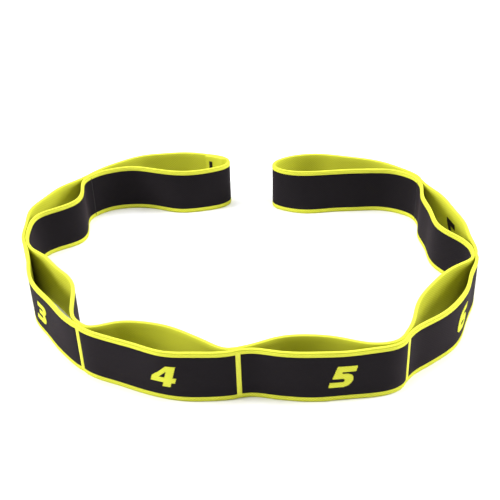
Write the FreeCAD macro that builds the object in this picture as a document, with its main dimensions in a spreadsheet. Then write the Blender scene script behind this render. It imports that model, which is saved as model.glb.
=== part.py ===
import FreeCAD, Part
import math
import os

import Sketcher

# Eight-loop stretching strap, standing on edge on the floor in an open ring.
#
# One long elastic tape is folded in half and sewn across at seven seams, so its two plies
# stand apart as eight pockets. Each ply is a double weave: a yellow ground that also makes
# both borders, a black face panel, and a flat core of rubber threads between them. The
# yellow faces the inside of the pocket and the black faces outwards.
#
# Millimetres. +Z is up and z = 0 is the floor. The origin is under the middle of the ring's
# box. The ring opens towards +Y, between the ends of loop_1 and loop_8.

doc = FreeCAD.newDocument("stretching_strap")

# ---------------------------------------------------------------- driving dimensions

SIZES = {
    "strap_width": 40.0,         # height of the tape as it stands
    "tape_thickness": 2.4,       # one ply
    "border_width": 3.4,         # yellow band along each edge
    "face_thickness": 0.8,       # black face panel
    "core_thickness": 0.6,       # flat core of rubber threads
    "core_margin": 1.2,          # from the border to the first rubber thread
    "ply_gap": 0.3,              # between the two plies at a seam
    "seam_gap": 0.3,             # between a seam and the end of the ply that turns about it
    "seam_pull": 7.0,            # how far a ply keeps the seam's direction
    "fold_pull": 8.0,            # the same at the rounded ends
    "numeral_height": 17.0,
    "numeral_lift": 0.3,         # how far the woven figure stands off the face
    "numeral_past_seam": 65.0,   # along the ply, from the lower seam to the figure's middle
    "numeral_before_seam": 46.0, # loop_1 has no lower seam: back from its upper seam instead
    "numeral_slant": 0.25,       # sideways lean for each millimetre of height
    "lap_start": 5.0,            # along loop_1's outer ply, from the fold to the lap
    "lap_length": 19.5,          # end of the tape, lapped inside loop_1
    "bar_tack_width": 3.6,
    "bar_tack_height": 24.0,
    "bar_tack_depth": 0.5,
    "bar_tack_inset": 4.5,       # from the lap's cut end to the middle of the bar tack
}

# Each loop runs from its lower-numbered end to the next seam: the straight distance, its
# direction in plan in degrees from +X, and how far the four middle control points of each
# ply stand outside (+) or inside (-) that line.
LOOPS = {
    1: {"chord": 118.0, "course": -172.0, "outer": (22.5, 25.5, 28.0, 18.5),
        "inner": (-12.0, -11.0, 6.0, 10.0)},
    2: {"chord": 107.5, "course": -108.5, "outer": (15.0, 18.5, 23.0, 12.0),
        "inner": (-4.5, -13.0, 15.0, 10.0)},
    3: {"chord": 114.5, "course": -62.5, "outer": (5.5, 13.5, 9.5, 7.5),
        "inner": (-7.0, -9.5, -14.5, -2.0)},
    4: {"chord": 108.0, "course": -17.0, "outer": (7.5, 11.0, 15.0, 9.5),
        "inner": (-9.0, -13.5, -10.0, -3.0)},
    5: {"chord": 108.0, "course": 4.0, "outer": (5.5, 10.5, 11.5, 11.0),
        "inner": (-7.5, -10.0, -3.5, 8.5)},
    6: {"chord": 110.0, "course": 55.0, "outer": (6.5, 14.0, 13.5, 6.5),
        "inner": (-4.5, -11.5, -9.0, -6.5)},
    7: {"chord": 110.5, "course": 100.5, "outer": (5.0, 10.5, 8.5, 7.5),
        "inner": (-2.0, -14.0, -7.0, -9.0)},
    8: {"chord": 123.5, "course": 162.0, "outer": (20.0, 27.5, 25.0, 27.0),
        "inner": (14.5, 6.5, -1.0, -13.0)},
}

# Direction of the sewn stack at each seam, in degrees from +X, and of the strap's middle
# line at its two folded ends.
HEADINGS = {0: 182.0, 1: 229.0, 2: 291.0, 3: 317.0, 4: 371.0, 5: 416.0, 6: 442.0, 7: 464.0,
            8: 524.0}

CONTROL_SHARES = (0.2, 0.4, 0.6, 0.8)    # where the middle control points stand
KNOTS = (0.0, *CONTROL_SHARES, 1.0)      # where the spans of a ply's curve join
STATIONS = 30                            # spans of a ply's face line
LAST_LOOP = len(LOOPS)

# Outlines of the woven figures, ten units high. Each corner is x, y and the bulge of the
# edge that leaves it: 0 is straight, 1 a half circle, + turns left. Later lists are holes.
FIGURES = {
    1: [[(2.6, 0, 0), (5.8, 0, 0), (5.8, 10, 0), (3.3, 10, 0), (0.2, 8.0, 0), (0.2, 5.4, 0),
         (2.6, 6.8, 0)]],
    2: [[(0, 0, 0), (8.2, 0, 0), (8.2, 2.5, 0), (4.6, 2.5, 0), (7.0, 4.3, 0.75),
         (5.2, 10, 0), (0.8, 10, 0), (0.8, 7.6, 0), (4.7, 7.6, -0.9), (4.4, 6.1, 0),
         (0, 2.9, 0)]],
    3: [[(0.2, 0, 0), (5.4, 0, 0.9), (6.7, 5.1, 0.9), (5.2, 10, 0), (0.8, 10, 0),
         (0.8, 7.6, 0), (4.8, 7.6, -1), (4.8, 6.2, 0), (2.4, 6.2, 0), (2.4, 4.0, 0),
         (4.9, 4.0, -1), (4.9, 2.4, 0), (0.2, 2.4, 0)]],
    4: [[(5.1, 0, 0), (8.1, 0, 0), (8.1, 2.0, 0), (9.5, 2.0, 0), (9.5, 4.3, 0),
         (8.1, 4.3, 0), (8.1, 10, 0), (4.6, 10, 0), (0, 4.3, 0), (0, 2.0, 0), (5.1, 2.0, 0)],
        [(5.1, 4.3, 0), (2.7, 4.3, 0), (5.1, 7.5, 0)]],
    5: [[(0, 0, 0), (5.2, 0, 1), (5.2, 6.4, 0), (3.4, 6.4, 0), (3.5, 7.5, 0), (8.4, 7.5, 0),
         (8.4, 10, 0), (0.9, 10, 0), (0.5, 4.0, 0), (4.6, 4.0, -1), (4.6, 2.4, 0),
         (0, 2.4, 0)]],
    6: [[(3.1, 0, 0), (5.4, 0, 1), (5.4, 6.2, 0), (3.3, 6.2, -0.3), (4.8, 7.6, 0),
         (7.6, 7.6, 0), (7.6, 10, 0), (4.6, 10, 0.42), (0, 5.2, 0), (0, 3.1, 0.42)],
        [(3.4, 2.3, -1), (3.4, 4.0, 0), (5.0, 4.0, -1), (5.0, 2.3, 0)]],
    7: [[(1.2, 0, 0), (4.6, 0, 0), (8.6, 7.6, 0), (8.6, 10, 0), (0.4, 10, 0), (0.4, 7.5, 0),
         (5.2, 7.5, 0)]],
    8: [[(3.0, 0, 0), (5.4, 0, 0.9), (6.6, 5.1, 0.9), (5.2, 10, 0), (3.2, 10, 0.9),
         (1.8, 5.1, 0.9)],
        [(3.2, 2.3, -1), (3.2, 4.0, 0), (5.2, 4.0, -1), (5.2, 2.3, 0)],
        [(3.4, 6.1, -1), (3.4, 7.7, 0), (5.0, 7.7, -1), (5.0, 6.1, 0)]],
}
FIGURE_UNITS = 10.0


# ---------------------------------------------------------------- the spreadsheet

sheet = doc.addObject("Spreadsheet::Sheet", "Sizes")


def fill_sheet():
    """Write every driving dimension into the sheet, one named cell each."""
    rows = dict(SIZES)
    for number, loop in LOOPS.items():
        rows[f"loop_{number}_chord"] = loop["chord"]
        rows[f"loop_{number}_course"] = loop["course"]
        for ply in ("outer", "inner"):
            for order, pull in enumerate(loop[ply], start=1):
                rows[f"loop_{number}_{ply}_pull_{order}"] = pull
    for number, heading in HEADINGS.items():
        rows[f"seam_{number}_heading"] = heading
    for line, (name, value) in enumerate(rows.items(), start=1):
        sheet.set(f"A{line}", name)
        sheet.set(f"B{line}", str(value))
        sheet.setAlias(f"B{line}", name)
    doc.recompute()


fill_sheet()


def size(name):
    """The value of one named cell."""
    return float(sheet.get(name))


# ---------------------------------------------------------------- the plan of the strap

UP = FreeCAD.Vector(0, 0, 1)


def direction(degrees):
    """Unit vector in plan, turned from +X."""
    angle = math.radians(degrees)
    return FreeCAD.Vector(math.cos(angle), math.sin(angle), 0)


def outward(forward):
    """The ring's outer side of a forward direction in plan: its right-hand normal."""
    return forward.cross(UP)


def turn_between(before, after):
    """Turn from one direction in plan to another in radians, + to the left."""
    return math.atan2(before.cross(after).z, before.dot(after))


def seam_radius():
    """Half the sewn stack of two plies, which is also the radius of a seam."""
    return size("tape_thickness") + size("ply_gap") / 2


def chain_of_seams():
    """Seam centres in plan, each one loop's chord on from the last, from the first end."""
    points = [FreeCAD.Vector(0, 0, 0)]
    for number in LOOPS:
        step = direction(size(f"loop_{number}_course")) * size(f"loop_{number}_chord")
        points.append(points[-1] + step)
    return points


def ply_curve(seams, number, ply):
    """Middle line of one ply: a cubic spline of five spans.

    It leaves each seam along the seam's heading, half the stack to its own side, and its four
    middle control points are pulled off the loop's line. Where the strap bends by the seam,
    the ply on the outside of the bend keeps the heading for longer, by its stand-off times
    the turn, so the two plies stay a stack's depth apart. At a folded end a ply starts square
    to the strap, so the two plies of that loop make one round fold.
    """
    side = 1 if ply == "outer" else -1
    start, end = seams[number - 1], seams[number]
    along = direction(size(f"loop_{number}_course"))
    chord = size(f"loop_{number}_chord")
    stand_off = side * (size("tape_thickness") + size("ply_gap")) / 2
    inset = seam_radius() + size("seam_gap")
    pull = size("seam_pull")
    fold = size("fold_pull")

    heading = direction(size(f"seam_{number - 1}_heading"))
    if number == 1:
        first = start
        first_handle = first + outward(heading) * side * fold
    else:
        first = start + heading * inset + outward(heading) * stand_off
        first_handle = first + heading * (pull + stand_off * turn_between(heading, along))
    heading = direction(size(f"seam_{number}_heading"))
    if number == LAST_LOOP:
        last = end
        last_handle = last + outward(heading) * side * fold
    else:
        last = end - heading * inset + outward(heading) * stand_off
        last_handle = last - heading * (pull + stand_off * turn_between(along, heading))

    middle = []
    for order, share in enumerate(CONTROL_SHARES, start=1):
        pulled = outward(along) * size(f"loop_{number}_{ply}_pull_{order}")
        middle.append(start + along * chord * share + pulled)
    poles = [first, first_handle, *middle, last_handle, last]
    joins = [4, *[1] * len(middle), 4]
    curve = Part.BSplineCurve()
    curve.buildFromPolesMultsKnots(poles, joins, KNOTS, False, 3)
    return curve


def frame_at(curve, station):
    """Point, forward direction and outer normal of a ply's middle line at 0 to 1."""
    forward = curve.tangent(station)[0]
    forward.normalize()
    return curve.value(station), forward, outward(forward)


def face_points(curve, offset, start=0.0, end=1.0):
    """Points of the line that keeps a set distance outside the middle line."""
    points = []
    for step in range(STATIONS + 1):
        point, _, normal = frame_at(curve, start + (end - start) * step / STATIONS)
        points.append(point + normal * offset)
    return points


def station_at_length(curve, length):
    """Where the middle line has run a set length from its start."""
    return curve.toShape().getParameterByLength(length)


def centred_seams():
    """The seam centres, moved so that the ring's box is centred on the origin."""
    seams = chain_of_seams()
    half = size("tape_thickness") / 2
    reach = []
    for number in LOOPS:
        for ply in ("outer", "inner"):
            curve = ply_curve(seams, number, ply)
            reach += face_points(curve, half) + face_points(curve, -half)
    box = FreeCAD.BoundBox()
    for point in reach:
        box.add(point)
    centre = FreeCAD.Vector(box.Center.x, box.Center.y, 0)
    return [point - centre for point in seams]


SEAMS = centred_seams()
CURVES = {}
for loop_number in LOOPS:
    for ply_name in ("outer", "inner"):
        CURVES[loop_number, ply_name] = ply_curve(SEAMS, loop_number, ply_name)


# ---------------------------------------------------------------- building blocks

pieces = []


def new_body(label):
    """A body for one piece, listed for export under its label."""
    body = doc.addObject("PartDesign::Body", label)
    body.Label = label
    pieces.append(body)
    return body


def floor_plane(body):
    """The body's own horizontal origin plane."""
    for feature in body.Origin.OriginFeatures:
        if feature.Role == "XY_Plane":
            return feature
    raise RuntimeError("no XY plane")


def closed_strip(curve, low, high, start=0.0, end=1.0):
    """Four edges of a strip of tape in plan, between two offsets of its middle line."""
    edges = []
    for offset in (low, high):
        line = Part.BSplineCurve()
        line.interpolate(face_points(curve, offset, start, end))
        edges.append(line)
    corners = [(edge.StartPoint, edge.EndPoint) for edge in edges]
    for end_index in (0, 1):
        edges.append(Part.LineSegment(corners[0][end_index], corners[1][end_index]))
    return edges


def pad_strips(body, name, strips, height, level="0"):
    """Pad closed strips upwards from a level: both are expressions on the sheet."""
    sketch = body.newObject("Sketcher::SketchObject", f"{name}_plan")
    sketch.AttachmentSupport = (floor_plane(body), [""])
    sketch.MapMode = "FlatFace"
    sketch.setExpression("AttachmentOffset.Base.z", level)
    for strip in strips:
        for edge in strip:
            index = sketch.addGeometry(edge)
            sketch.addConstraint(Sketcher.Constraint("Block", index))
    pad = body.newObject("PartDesign::Pad", f"{name}_pad")
    pad.Profile = sketch
    pad.setExpression("Length", height)
    sketch.Visibility = False
    return pad


# ---------------------------------------------------------------- the plies

PANEL_HEIGHT = "Sizes.strap_width - 2 * Sizes.border_width"
CORE_HEIGHT = f"{PANEL_HEIGHT} - 2 * Sizes.core_margin"


def layer_offsets(ply):
    """Offsets of a ply's layers from its middle line, from the yellow back to the face.

    The outer ply's face is on the ring's outer side and the inner ply's on its inner side.
    """
    side = 1 if ply == "outer" else -1
    half = size("tape_thickness") / 2
    face_back = half - size("face_thickness")
    core_back = face_back - size("core_thickness")
    return [side * offset for offset in (-half, core_back, face_back, half)]


def make_ground(number, ply):
    """Yellow weave: the whole back of the ply, thickened to its full depth as borders."""
    curve = CURVES[number, ply]
    back, core_back, _, front = layer_offsets(ply)
    name = f"loop_{number}_{ply}_yellow_ground"
    body = new_body(name)
    pad_strips(body, f"{name}_back", [closed_strip(curve, back, core_back)],
               "Sizes.strap_width")
    border = closed_strip(curve, back, front)
    pad_strips(body, f"{name}_lower_border", [border], "Sizes.border_width")
    pad_strips(body, f"{name}_upper_border", [border], "Sizes.border_width",
               "Sizes.strap_width - Sizes.border_width")


def make_face(number, ply):
    """Black panel between the borders."""
    _, _, face_back, front = layer_offsets(ply)
    name = f"loop_{number}_{ply}_black_face"
    body = new_body(name)
    strip = closed_strip(CURVES[number, ply], face_back, front)
    pad_strips(body, name, [strip], PANEL_HEIGHT, "Sizes.border_width")


def make_cores(number):
    """Flat cores of rubber threads, one inside each ply of the loop."""
    name = f"loop_{number}_rubber_cores"
    body = new_body(name)
    strips = []
    for ply in ("outer", "inner"):
        _, core_back, face_back, _ = layer_offsets(ply)
        strips.append(closed_strip(CURVES[number, ply], core_back, face_back))
    body.AllowCompound = True
    pad_strips(body, name, strips, CORE_HEIGHT, "Sizes.border_width + Sizes.core_margin")


# ---------------------------------------------------------------- the woven figures


def figure_wire(corners):
    """Closed wire of one upright outline, in the units of the outline itself."""
    edges = []
    for (x1, y1, bulge), (x2, y2, _) in zip(corners, corners[1:] + corners[:1]):
        start = FreeCAD.Vector(x1, y1, 0)
        end = FreeCAD.Vector(x2, y2, 0)
        if bulge == 0:
            edges.append(Part.LineSegment(start, end).toShape())
            continue
        crown = (start + end) / 2 + outward(end - start) * (bulge / 2)
        edges.append(Part.Arc(start, crown, end).toShape())
    return Part.Wire(edges)


def figure_prism(number, depth):
    """Solid figure, centred, leaning and at its real height, with its face in XY."""
    plate = Part.Face(figure_wire(FIGURES[number][0]))
    for corners in FIGURES[number][1:]:
        plate = plate.cut(Part.Face(figure_wire(corners)))
    plate.translate(-plate.BoundBox.Center)
    unit = size("numeral_height") / FIGURE_UNITS
    lean = FreeCAD.Matrix()
    lean.A11 = unit
    lean.A12 = unit * size("numeral_slant")
    lean.A22 = unit
    return plate.transformGeometry(lean).extrude(UP * depth)


def figure_station(number, curve):
    """Where the middle of the figure stands on the outer ply, from 0 to 1."""
    inset = seam_radius() + size("seam_gap")
    if number == 1:
        return station_at_length(curve, curve.length() + inset - size("numeral_before_seam"))
    return station_at_length(curve, size("numeral_past_seam") - inset)


def make_numeral(number):
    """Woven figure on the outer face: a thin skin of the ply, cut to the outline."""
    curve = CURVES[number, "outer"]
    station = figure_station(number, curve)
    point, forward, normal = frame_at(curve, station)
    front = size("tape_thickness") / 2
    lift = size("numeral_lift")
    reach = size("numeral_height") / curve.length()
    edges = [edge.toShape() for edge in
             closed_strip(curve, front, front + lift, station - reach, station + reach)]
    skin = Part.Face(Part.Wire(Part.sortEdges(edges)[0]))
    skin = skin.extrude(UP * size("strap_width"))
    depth = size("numeral_height") / 2
    prism = figure_prism(number, 2 * depth)
    base = point - normal * depth + UP * (size("strap_width") / 2)
    turn = FreeCAD.Rotation(forward, UP, normal, "ZXY")
    prism.Placement = FreeCAD.Placement(base, turn)
    name = f"numeral_{number}"
    numeral = doc.addObject("Part::Feature", name)
    numeral.Label = name
    numeral.Shape = skin.common(prism)
    pieces.append(numeral)


# ---------------------------------------------------------------- seams and the lap


def make_seam(number):
    """Sewn seam between two loops: a round column of stitching that both turn about."""
    name = f"seam_{number}_{number + 1}"
    seam = doc.addObject("Part::Cylinder", name)
    seam.Label = name
    seam.setExpression("Radius", "Sizes.tape_thickness + Sizes.ply_gap / 2")
    seam.setExpression("Height", "Sizes.strap_width")
    seam.Placement = FreeCAD.Placement(SEAMS[number], FreeCAD.Rotation())
    pieces.append(seam)


def make_lap():
    """End of the tape, lapped inside loop_1's outer ply, and the bar tack that holds it."""
    curve = CURVES[1, "outer"]
    back = -size("tape_thickness") / 2
    inner = back - size("tape_thickness")
    lap_end = size("lap_start") + size("lap_length")
    ends = [station_at_length(curve, length) for length in (size("lap_start"), lap_end)]
    body = new_body("lap_end")
    strip = closed_strip(curve, inner, back, *ends)
    pad_strips(body, "lap_end", [strip], "Sizes.strap_width")

    middle = lap_end - size("bar_tack_inset")
    half = size("bar_tack_width") / 2
    ends = [station_at_length(curve, middle + reach) for reach in (-half, half)]
    body = new_body("lap_bar_tack")
    strip = closed_strip(curve, inner - size("bar_tack_depth"), inner, *ends)
    pad_strips(body, "lap_bar_tack", [strip], "Sizes.bar_tack_height",
               "(Sizes.strap_width - Sizes.bar_tack_height) / 2")


# ---------------------------------------------------------------- build, check, export

for loop_number in LOOPS:
    for ply_name in ("outer", "inner"):
        make_ground(loop_number, ply_name)
        make_face(loop_number, ply_name)
    make_cores(loop_number)
    make_numeral(loop_number)
for seam_number in range(1, LAST_LOOP):
    make_seam(seam_number)
make_lap()
doc.recompute()

for item in doc.Objects:
    if "Invalid" in item.State or "Error" in item.State:
        raise RuntimeError(f"{item.Label} failed: {item.State}")
for piece in pieces:
    if piece.Shape.isNull() or not piece.Shape.isValid() or piece.Shape.Volume <= 0:
        raise RuntimeError(f"{piece.Label} has no valid solid")

os.makedirs("parts", exist_ok=True)
for piece in pieces:
    piece.Shape.exportStep(f"parts/{piece.Label}.step")

print(len(pieces), "pieces")
for (loop_number, ply_name), line in CURVES.items():
    print(f"loop_{loop_number} {ply_name} ply: {line.length():.1f} mm")
for seam_number, seam_point in enumerate(SEAMS):
    print(f"seam {seam_number}: {seam_point.x:.2f}, {seam_point.y:.2f}")
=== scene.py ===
"""Looks of an eight-loop stretching strap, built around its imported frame.

One long elastic tape is folded in half and stands on edge in an open ring. Its two plies are
sewn together at seven seams and part between them as eight pockets. The tape is a double
weave: yellow inside the pockets and along both edges, black outside. Finished pieces are in
metres in the frame's own place: +Z is up, z = 0 is the floor. Sizes are given in millimetres.
"""

import logging
from dataclasses import dataclass, field
from enum import Enum

import bpy
import numpy as np
from mathutils import Matrix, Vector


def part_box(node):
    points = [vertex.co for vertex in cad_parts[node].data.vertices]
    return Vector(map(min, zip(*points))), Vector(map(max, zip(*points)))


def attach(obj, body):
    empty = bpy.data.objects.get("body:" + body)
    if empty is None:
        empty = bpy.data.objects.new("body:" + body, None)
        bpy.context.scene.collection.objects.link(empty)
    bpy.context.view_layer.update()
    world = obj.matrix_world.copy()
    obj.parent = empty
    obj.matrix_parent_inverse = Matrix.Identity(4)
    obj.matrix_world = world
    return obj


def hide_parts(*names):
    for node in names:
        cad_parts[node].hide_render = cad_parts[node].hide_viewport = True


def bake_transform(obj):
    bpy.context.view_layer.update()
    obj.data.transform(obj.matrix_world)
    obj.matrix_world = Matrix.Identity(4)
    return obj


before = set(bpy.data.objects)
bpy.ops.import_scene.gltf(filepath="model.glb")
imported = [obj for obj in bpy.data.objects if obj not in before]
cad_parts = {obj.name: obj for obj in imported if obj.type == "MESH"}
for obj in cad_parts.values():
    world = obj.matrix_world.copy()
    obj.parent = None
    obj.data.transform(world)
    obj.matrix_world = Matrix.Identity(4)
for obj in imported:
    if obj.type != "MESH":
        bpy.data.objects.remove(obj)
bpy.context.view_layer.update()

log = logging.getLogger("stretching_strap")
Tree = bpy.types.NodeTree
Socket = bpy.types.NodeSocket
MM = 0.001
WIDTH = 40.0  # of the tape, mm
BACK = -1.2  # depth of the tape's back from its middle line, mm
SHARP = 50  # faces that meet at more degrees than this get a crisp edge
PATTERN_MAP = "tape"  # UV map of every woven piece: mm along the tape, mm around its section
EDGE_SHADE_ATTRIBUTE = "binder_line"  # 1 on the dark line painted along the groove by each edge, as painted shade
POCKET_SHADE_ATTRIBUTE = "woven_back"  # share of painted shade inside the pockets, on the back of the weave


# ---------------------------------------------------------------- finishes


def linear(colour: str) -> tuple[float, float, float, float]:
    """Turns an sRGB hex colour into linear red, green, blue and full alpha, from 0 to 1."""
    shown = np.array([int(colour[i : i + 2], 16) for i in (1, 3, 5)]) / 255
    light = np.where(shown <= 0.04045, shown / 12.92, ((shown + 0.055) / 1.055) ** 2.4)
    return (*light.tolist(), 1.0)


def add_node(
    tree: Tree,
    kind: str,
    settings: dict | None = None,
    inputs: dict | None = None,
) -> bpy.types.Node:
    """Adds one node to a material.

    Args:
        tree: the material's node tree.
        kind: Blender's name for the node.
        settings: properties of the node by name.
        inputs: value of each input, or the output socket that feeds it, by name or number.

    Returns:
        The new node.
    """
    node = tree.nodes.new(kind)
    for name, value in (settings or {}).items():
        setattr(node, name, value)
    for key, value in (inputs or {}).items():
        if isinstance(value, Socket):
            tree.links.new(value, node.inputs[key])
        else:
            node.inputs[key].default_value = value
    return node


def empty_tree(name: str) -> tuple[bpy.types.Material, Tree]:
    """Makes a material with no nodes and returns it with its tree."""
    material = bpy.data.materials.new(name)
    material.use_nodes = True
    material.node_tree.nodes.clear()
    return material, material.node_tree


def math_node(tree: Tree, operation: str, *inputs: Socket | float) -> Socket:
    """Adds a math node, with a value or a socket for each input, and returns its result."""
    settings = {"operation": operation}
    return add_node(tree, "ShaderNodeMath", settings, dict(enumerate(inputs))).outputs[0]


def mixed(
    tree: Tree,
    share: Socket,
    first: Socket | tuple[float, ...],
    second: Socket | tuple[float, ...],
    blend: str = "MIX",
) -> Socket:
    """Adds a node that mixes two colours.

    Args:
        tree: the material's node tree.
        share: how much of the second colour shows.
        first: the first colour, or the socket that feeds it.
        second: the second colour, likewise.
        blend: Blender's name for the way of mixing.

    Returns:
        The mixed colour's socket.
    """
    settings = {"data_type": "RGBA", "blend_type": blend}
    node = add_node(tree, "ShaderNodeMix", settings, {0: share, "A": first, "B": second})
    return node.outputs["Result"]


def noise(tree: Tree, place: Socket, scale: float, detail: float) -> Socket:
    """Adds cloudy noise and returns its socket."""
    inputs = {"Vector": place, "Scale": scale, "Detail": detail}
    return add_node(tree, "ShaderNodeTexNoise", inputs=inputs).outputs["Fac"]


def pattern_place(tree: Tree) -> tuple[Socket, ...]:
    """Adds the pattern map and returns three sockets: the place, mm along and mm around."""
    place = add_node(tree, "ShaderNodeUVMap", {"uv_map": PATTERN_MAP}).outputs[0]
    split = add_node(tree, "ShaderNodeSeparateXYZ", inputs={0: place})
    return place, split.outputs["X"], split.outputs["Y"]


def close_tree(
    tree: Tree, height: Socket, strength: float, relief: float, inputs: dict
) -> None:
    """Adds a surface with relief, and the material's output.

    Args:
        tree: the material's node tree.
        height: socket of the relief's shape.
        strength: share of the relief that shows.
        relief: its full height in mm.
        inputs: the surface's other inputs by name.
    """
    rise = {"Strength": strength, "Distance": relief * MM, "Height": height}
    bump = add_node(tree, "ShaderNodeBump", inputs=rise)
    inputs = {**inputs, "Normal": bump.outputs[0]}
    surface = add_node(tree, "ShaderNodeBsdfPrincipled", inputs=inputs)
    add_node(tree, "ShaderNodeOutputMaterial", inputs={0: surface.outputs[0]})


@dataclass(frozen=True)
class WovenFinish:
    """Textured polyester yarn in a dense narrow weave, matt, with a soft bloom at the edge.

    Picks cross the tape and warp ends run along it. Crowns of the yarns stand proud and pale,
    and the valleys between them are deeper in colour. The real picks are about 0.5 mm apart;
    they are drawn about twice as coarse, because finer ones melt together in a render.

    Attributes:
        name: the material's name.
        slot: the record's material slot; not used.
        crown: colour of the crowns.
        valley: colour of the valleys.
        line: colour of the dark line painted along the groove by each edge, as painted shade.
        back: colour of the painted shade inside the pockets, which multiplies the colour on the back.
        pick: mm from one pick to the next.
        end: mm from one warp end to the next.
        relief: height of the crowns in mm.
        roughness: 0 is a mirror, 1 is matt.
        specular: level of the gloss.
        sheen: weight of the bloom.
        sheen_tint: colour of the bloom.
        streak: how far the yarn lots differ.
    """

    name: str
    slot: str
    crown: str
    valley: str
    line: str
    back: str
    pick: float = 1.1
    end: float = 0.95
    relief: float = 0.12
    roughness: float = 0.85
    specular: float = 0.2
    sheen: float = 0.0
    sheen_tint: str = "#FFFFFF"
    streak: float = 0.12

    def colour(self, tree: Tree, place: Socket, height: Socket) -> Socket:
        """Crowns are paler than valleys, and faint bands along the tape show the yarn lots.

        A lot's band is about 50 mm long and 3 mm wide. On the back, inside the pockets, the colour
        is darkened as painted shade.

        Args:
            tree: the material's node tree.
            place: socket of the pattern map.
            height: socket of the weave's height.

        Returns:
            The colour's socket.
        """
        valley = linear(self.valley)
        threads = mixed(tree, height, valley, linear(self.crown))
        lots = {"Vector": place, "Scale": (0.02, 0.35, 1.0)}
        stretched = add_node(tree, "ShaderNodeMapping", inputs=lots).outputs[0]
        share = math_node(tree, "MULTIPLY", noise(tree, stretched, 1.0, 2.0), self.streak)
        banded = mixed(tree, share, threads, valley)
        back, line = (
            add_node(tree, "ShaderNodeAttribute", {"attribute_name": name}).outputs["Fac"]
            for name in (POCKET_SHADE_ATTRIBUTE, EDGE_SHADE_ATTRIBUTE)
        )
        # Painted shade: inside the pockets the back is multiplied by the back colour, by the
        # attribute's share.
        pocket_shaded = mixed(tree, back, banded, linear(self.back), "MULTIPLY")
        # Painted shade: a dark line along the groove by each edge.
        return mixed(tree, line, pocket_shaded, linear(self.line))

    def material(self) -> bpy.types.Material:
        """Weave height is half of sin(pi along / pick) times sin(pi across / end), plus noise.

        The noise is the yarn's own unevenness, with clouds about 0.6 mm across.
        """
        material, tree = empty_tree(self.name)
        place, along, across = pattern_place(tree)
        waves = [
            math_node(tree, "SINE", math_node(tree, "MULTIPLY", axis, np.pi / spacing))
            for axis, spacing in ((along, self.pick), (across, self.end))
        ]
        crossing = math_node(tree, "MULTIPLY", *waves)
        height = math_node(tree, "MULTIPLY_ADD", crossing, 0.5, noise(tree, place, 1.7, 3.0))
        inputs = {
            "Base Color": self.colour(tree, place, height),
            "Roughness": self.roughness,
            "Specular IOR Level": self.specular,
            "Sheen Weight": self.sheen,
            "Sheen Roughness": 0.5,
            "Sheen Tint": linear(self.sheen_tint),
        }
        close_tree(tree, height, 0.55, self.relief, inputs)
        return material


@dataclass(frozen=True)
class StitchFinish:
    """Twisted polyester sewing thread, smoother than the weave, with a low gloss.

    Attributes:
        name: the material's name.
        slot: the record's material slot; not used.
        crown: colour of the twist's crowns.
        valley: colour between them.
        twist: mm from one slanting line of the twist to the next.
        relief: height of the twist in mm.
        roughness: 0 is a mirror, 1 is matt.
        specular: level of the gloss.
    """

    name: str
    slot: str
    crown: str
    valley: str
    twist: float = 0.35
    relief: float = 0.06
    roughness: float = 0.5
    specular: float = 0.4

    def material(self) -> bpy.types.Material:
        """Twist height is 0.4 of sin(pi (along + across) / twist), plus the thread's fuzz."""
        material, tree = empty_tree(self.name)
        place, along, across = pattern_place(tree)
        slant = math_node(tree, "ADD", along, across)
        wave = math_node(tree, "SINE", math_node(tree, "MULTIPLY", slant, np.pi / self.twist))
        height = math_node(tree, "MULTIPLY_ADD", wave, 0.4, noise(tree, place, 2.3, 2.0))
        inputs = {
            "Base Color": mixed(tree, height, linear(self.valley), linear(self.crown)),
            "Roughness": self.roughness,
            "Specular IOR Level": self.specular,
        }
        close_tree(tree, height, 0.4, self.relief, inputs)
        return material


@dataclass(frozen=True)
class PaperFinish:
    """Matt white background paper with a faint tooth."""

    name: str
    colour: str = "#F6F6F6"
    roughness: float = 0.95
    relief: float = 0.05

    def material(self) -> bpy.types.Material:
        """Tooth is fine noise, a third of a millimetre across."""
        material, tree = empty_tree(self.name)
        place = add_node(tree, "ShaderNodeTexCoord").outputs["Object"]
        inputs = {
            "Base Color": linear(self.colour),
            "Roughness": self.roughness,
            "Specular IOR Level": 0.1,
        }
        close_tree(tree, noise(tree, place, 3000.0, 2.0), 0.1, self.relief, inputs)
        return material


@dataclass(frozen=True)
class Finishes:
    """The strap's four yarns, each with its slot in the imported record."""

    yellow_weave: WovenFinish = WovenFinish(
        "yellow polyester weave",
        "yellow_weave",
        crown="#E2E552",
        valley="#CACC2C",
        # Painted shade along the groove by each edge.
        line="#8D9018",
        # Painted shade inside the pockets, multiplied in on the back.
        back="#746E40",
    )
    black_weave: WovenFinish = WovenFinish(
        "black polyester weave",
        "black_weave",
        crown="#19161A",
        valley="#0E0C0E",
        line="#0E0C0E",
        back="#FFFFFF",
        relief=0.1,
        specular=0.12,
        sheen=0.07,
        sheen_tint="#C8A8B8",
    )
    yellow_thread: StitchFinish = StitchFinish(
        "yellow sewing thread", "yellow_thread", crown="#F6F84A", valley="#C4C414"
    )
    black_thread: StitchFinish = StitchFinish(
        "black sewing thread", "black_thread", crown="#262225", valley="#0E0C0D", specular=0.25
    )


# ---------------------------------------------------------------- surfaces


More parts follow.
